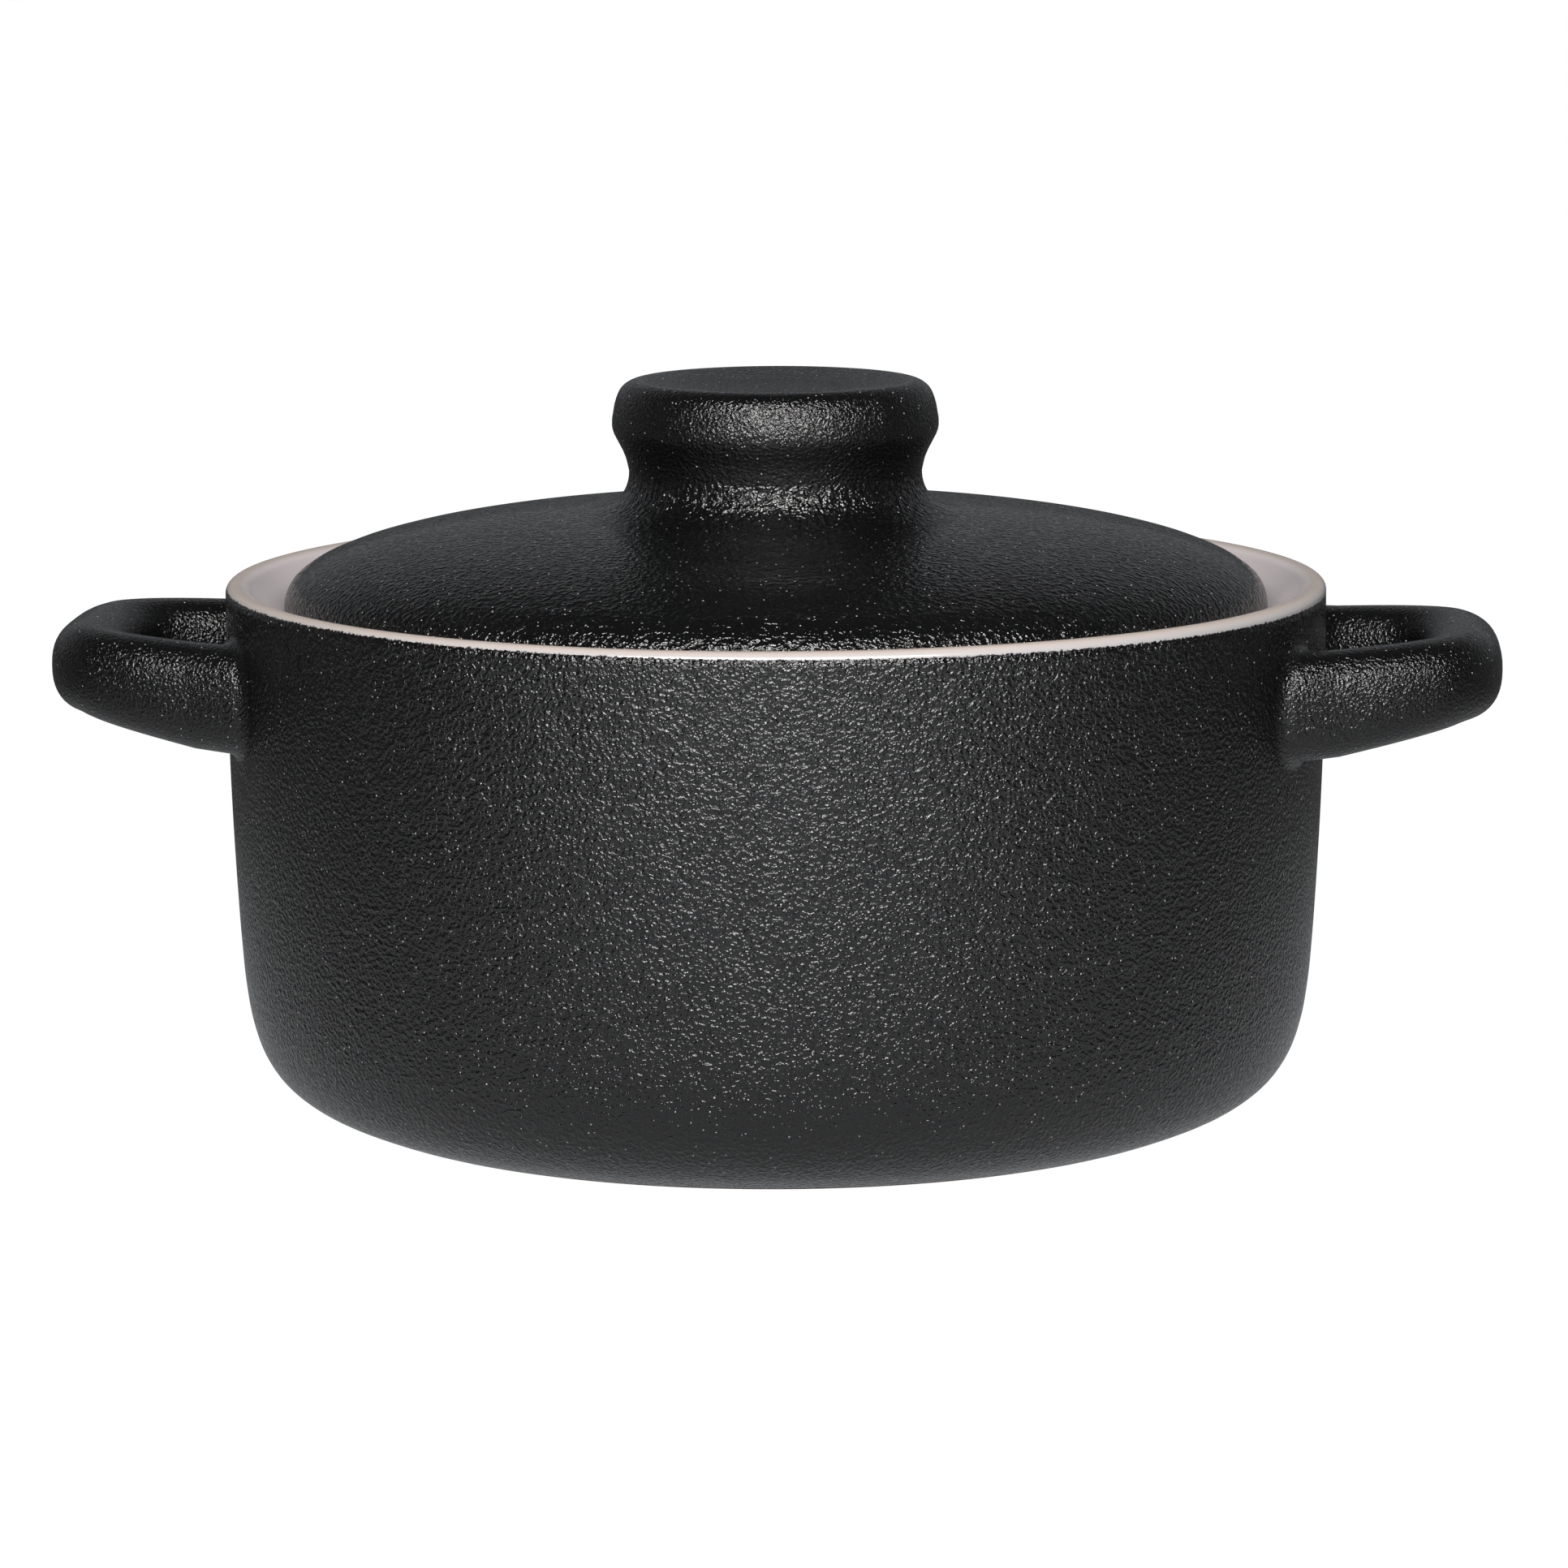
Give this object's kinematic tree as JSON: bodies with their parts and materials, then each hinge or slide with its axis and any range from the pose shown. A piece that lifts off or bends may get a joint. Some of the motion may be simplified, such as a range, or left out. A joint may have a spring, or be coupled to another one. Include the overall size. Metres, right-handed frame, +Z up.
{
  "type": "casserole pot",
  "caption": "Round ceramic casserole with straight sides, loop handles and a pale glazed inside, and a domed lid with a waisted knob that sits inside the rim and lifts off.",
  "frame": {"origin": "middle of the underside of the foot ring, on the pot's axis", "axes": "+X through the handles, +Z up along the pot's axis"},
  "size_m": [0.2624, 0.199, 0.1329],
  "materials": {
    "black_coat": "satin black coat with a fine pebbled texture, bare brown clay under the foot",
    "pale_glaze": "glossy cream glaze"
  },
  "bodies": {
    "pot": {"pot_body": "black_coat", "pot_glaze": "pale_glaze", "left_handle": "black_coat", "right_handle": "black_coat"},
    "lid": {"lid_dome": "black_coat", "lid_glaze": "pale_glaze", "lid_knob": "black_coat"}
  },
  "joints": [
    {"name": "lid_lift", "type": "slide", "parent": "pot", "child": "lid", "axis": [0, 0, 1], "range_m": [0, 0.12]}
  ]
}
